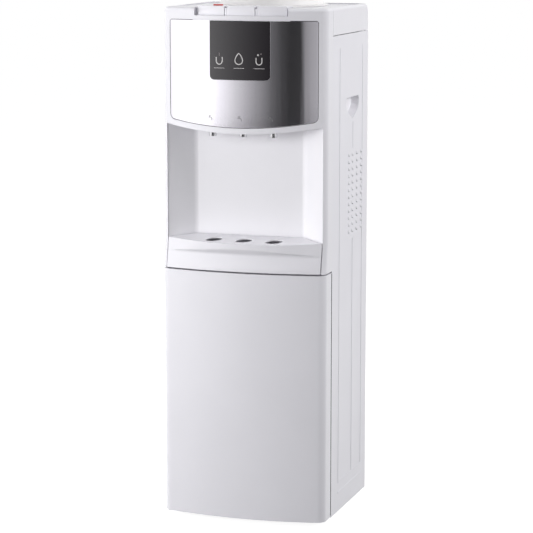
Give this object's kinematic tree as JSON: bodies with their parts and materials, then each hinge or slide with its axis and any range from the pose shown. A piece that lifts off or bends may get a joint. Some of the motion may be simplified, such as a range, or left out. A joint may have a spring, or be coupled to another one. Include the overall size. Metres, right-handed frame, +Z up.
{
  "type": "water dispenser",
  "caption": "Floor-standing water dispenser: bottle seat on top, push-button taps over a drip tray in an alcove, a storage cupboard below, tanks and cooling set inside.",
  "frame": {"origin": "on the floor, under the middle of the housing's width and depth", "axes": "+Z up, +X to the right as seen by a person who faces the taps, +Y to the rear"},
  "size_m": [0.31, 0.3, 0.96],
  "materials": {
    "white_plastic": "satin moulded plastic",
    "liner_plastic": "satin moulded plastic",
    "seat_plastic": "satin moulded plastic, slightly warmer white",
    "face_steel": "brushed along its width",
    "dark_panel": "glossy dark panel",
    "lock_red": "satin red plastic",
    "bright_metal": "bright metal",
    "plain_steel": "plain steel",
    "side_paint": "smooth white paint on steel",
    "grey_sheet": "galvanised sheet",
    "foam": "rigid foam",
    "rubber_black": "moulded rubber",
    "tank_steel": "drawn stainless steel",
    "copper": "copper tube",
    "black_paint": "black enamel",
    "hose_silicone": "translucent silicone, taken as opaque",
    "tap_plastic": "satin moulded plastic",
    "board_green": "circuit board",
    "black_plastic": "fine grained plastic",
    "rocker_red": "satin red plastic",
    "cap_blue": "satin blue plastic",
    "magnet_black": "bonded magnet strip",
    "heater_steel": "sheathed heater tube"
  },
  "bodies": {
    "housing": {"front_frame": "white_plastic", "alcove_liner": "liner_plastic", "face_panel": "face_steel", "indicator_panel": "dark_panel", "indicator_board": "board_green", "button_shaft": "plain_steel", "hot_spring": "plain_steel", "room_spring": "plain_steel", "cold_spring": "plain_steel", "hot_tap": "tap_plastic", "room_tap": "tap_plastic", "cold_tap": "tap_plastic", "spout_tips": "bright_metal", "hinge_brackets": "plain_steel", "side_panel_left": "side_paint", "side_panel_right": "side_paint", "side_grips": "liner_plastic", "top_cover": "white_plastic", "rear_panel": "side_paint", "base_plate": "grey_sheet", "feet": "rubber_black", "cabinet_liner": "liner_plastic", "lower_shelf": "grey_sheet", "upper_shelf": "grey_sheet", "cold_tank": "tank_steel", "tank_insulation": "foam", "baffle_plate": "liner_plastic", "evaporator_coil": "copper", "hot_tank": "tank_steel", "hot_jacket": "foam", "heating_element": "heater_steel", "hot_feed_hose": "hose_silicone", "hot_hose": "hose_silicone", "room_hose": "hose_silicone", "cold_hose": "hose_silicone", "drain_hose": "hose_silicone", "compressor": "black_paint", "compressor_mounts": "rubber_black", "condenser": "black_paint", "refrigerant_lines": "copper", "filter_drier": "copper", "switch_bodies": "black_plastic", "cord_gland": "black_plastic"},
    "door": {"door_skin": "white_plastic", "door_liner": "liner_plastic", "door_magnet": "magnet_black"},
    "hot_button": {"hot_button": "white_plastic"},
    "child_lock": {"child_lock": "lock_red"},
    "room_button": {"room_button": "white_plastic"},
    "cold_button": {"cold_button": "white_plastic"},
    "hot_rod": {"hot_rod": "tap_plastic"},
    "room_rod": {"room_rod": "tap_plastic"},
    "cold_rod": {"cold_rod": "tap_plastic"},
    "tray": {"drip_tray": "white_plastic"},
    "grille": {"drip_grille": "liner_plastic"},
    "seat": {"bottle_seat": "seat_plastic", "feed_spike": "seat_plastic"},
    "hot_rocker": {"hot_rocker": "rocker_red"},
    "cold_rocker": {"cold_rocker": "rocker_red"},
    "drain_cap": {"drain_cap": "cap_blue"}
  },
  "joints": [
    {"name": "door_hinge", "type": "hinge", "parent": "housing", "child": "door", "pos_m": [-0.145, -0.11625, 0.2385], "axis": [0, 0, -1], "range_deg": [0, 105]},
    {"name": "hot_button_tilt", "type": "hinge", "parent": "housing", "child": "hot_button", "pos_m": [-0.0575, -0.092, 0.936], "axis": [1, 0, 0], "range_deg": [0, 6], "stiffness_Nm_per_rad": 0.6, "springref_deg": -6.88},
    {"name": "room_button_tilt", "type": "hinge", "parent": "housing", "child": "room_button", "pos_m": [0, -0.092, 0.936], "axis": [1, 0, 0], "range_deg": [0, 6], "stiffness_Nm_per_rad": 0.6, "springref_deg": -6.88},
    {"name": "cold_button_tilt", "type": "hinge", "parent": "housing", "child": "cold_button", "pos_m": [0.0575, -0.092, 0.936], "axis": [1, 0, 0], "range_deg": [0, 6], "stiffness_Nm_per_rad": 0.6, "springref_deg": -6.88},
    {"name": "hot_rod_slide", "type": "slide", "parent": "housing", "child": "hot_rod", "axis": [0, 0, -1], "range_m": [0, 0.0038], "deforming": ["hot_spring"]},
    {"name": "room_rod_slide", "type": "slide", "parent": "housing", "child": "room_rod", "axis": [0, 0, -1], "range_m": [0, 0.0038], "deforming": ["room_spring"]},
    {"name": "cold_rod_slide", "type": "slide", "parent": "housing", "child": "cold_rod", "axis": [0, 0, -1], "range_m": [0, 0.0038], "deforming": ["cold_spring"]},
    {"name": "child_lock_slide", "type": "slide", "parent": "hot_button", "child": "child_lock", "axis": [0, 1, 0], "range_m": [0, 0.008]},
    {"name": "tray_slide", "type": "slide", "parent": "housing", "child": "tray", "axis": [0, -1, 0], "range_m": [0, 0.06]},
    {"name": "grille_lift", "type": "slide", "parent": "tray", "child": "grille", "axis": [0, 0, 1], "range_m": [0, 0.04]},
    {"name": "seat_lift", "type": "slide", "parent": "housing", "child": "seat", "axis": [0, 0, 1], "range_m": [0, 0.09]},
    {"name": "hot_rocker_tilt", "type": "hinge", "parent": "housing", "child": "hot_rocker", "pos_m": [-0.118, 0.1286, 0.85], "axis": [1, 0, 0], "range_deg": [0, 16]},
    {"name": "cold_rocker_tilt", "type": "hinge", "parent": "housing", "child": "cold_rocker", "pos_m": [-0.082, 0.1286, 0.85], "axis": [1, 0, 0], "range_deg": [0, 16]},
    {"name": "drain_cap_pull", "type": "slide", "parent": "housing", "child": "drain_cap", "axis": [0, 1, 0], "range_m": [0, 0.02]}
  ],
  "couplings": [
    {"joint": "hot_rod_slide", "follows": "hot_button_tilt", "m_per_rad": 0.036},
    {"joint": "room_rod_slide", "follows": "room_button_tilt", "m_per_rad": 0.036},
    {"joint": "cold_rod_slide", "follows": "cold_button_tilt", "m_per_rad": 0.036}
  ]
}
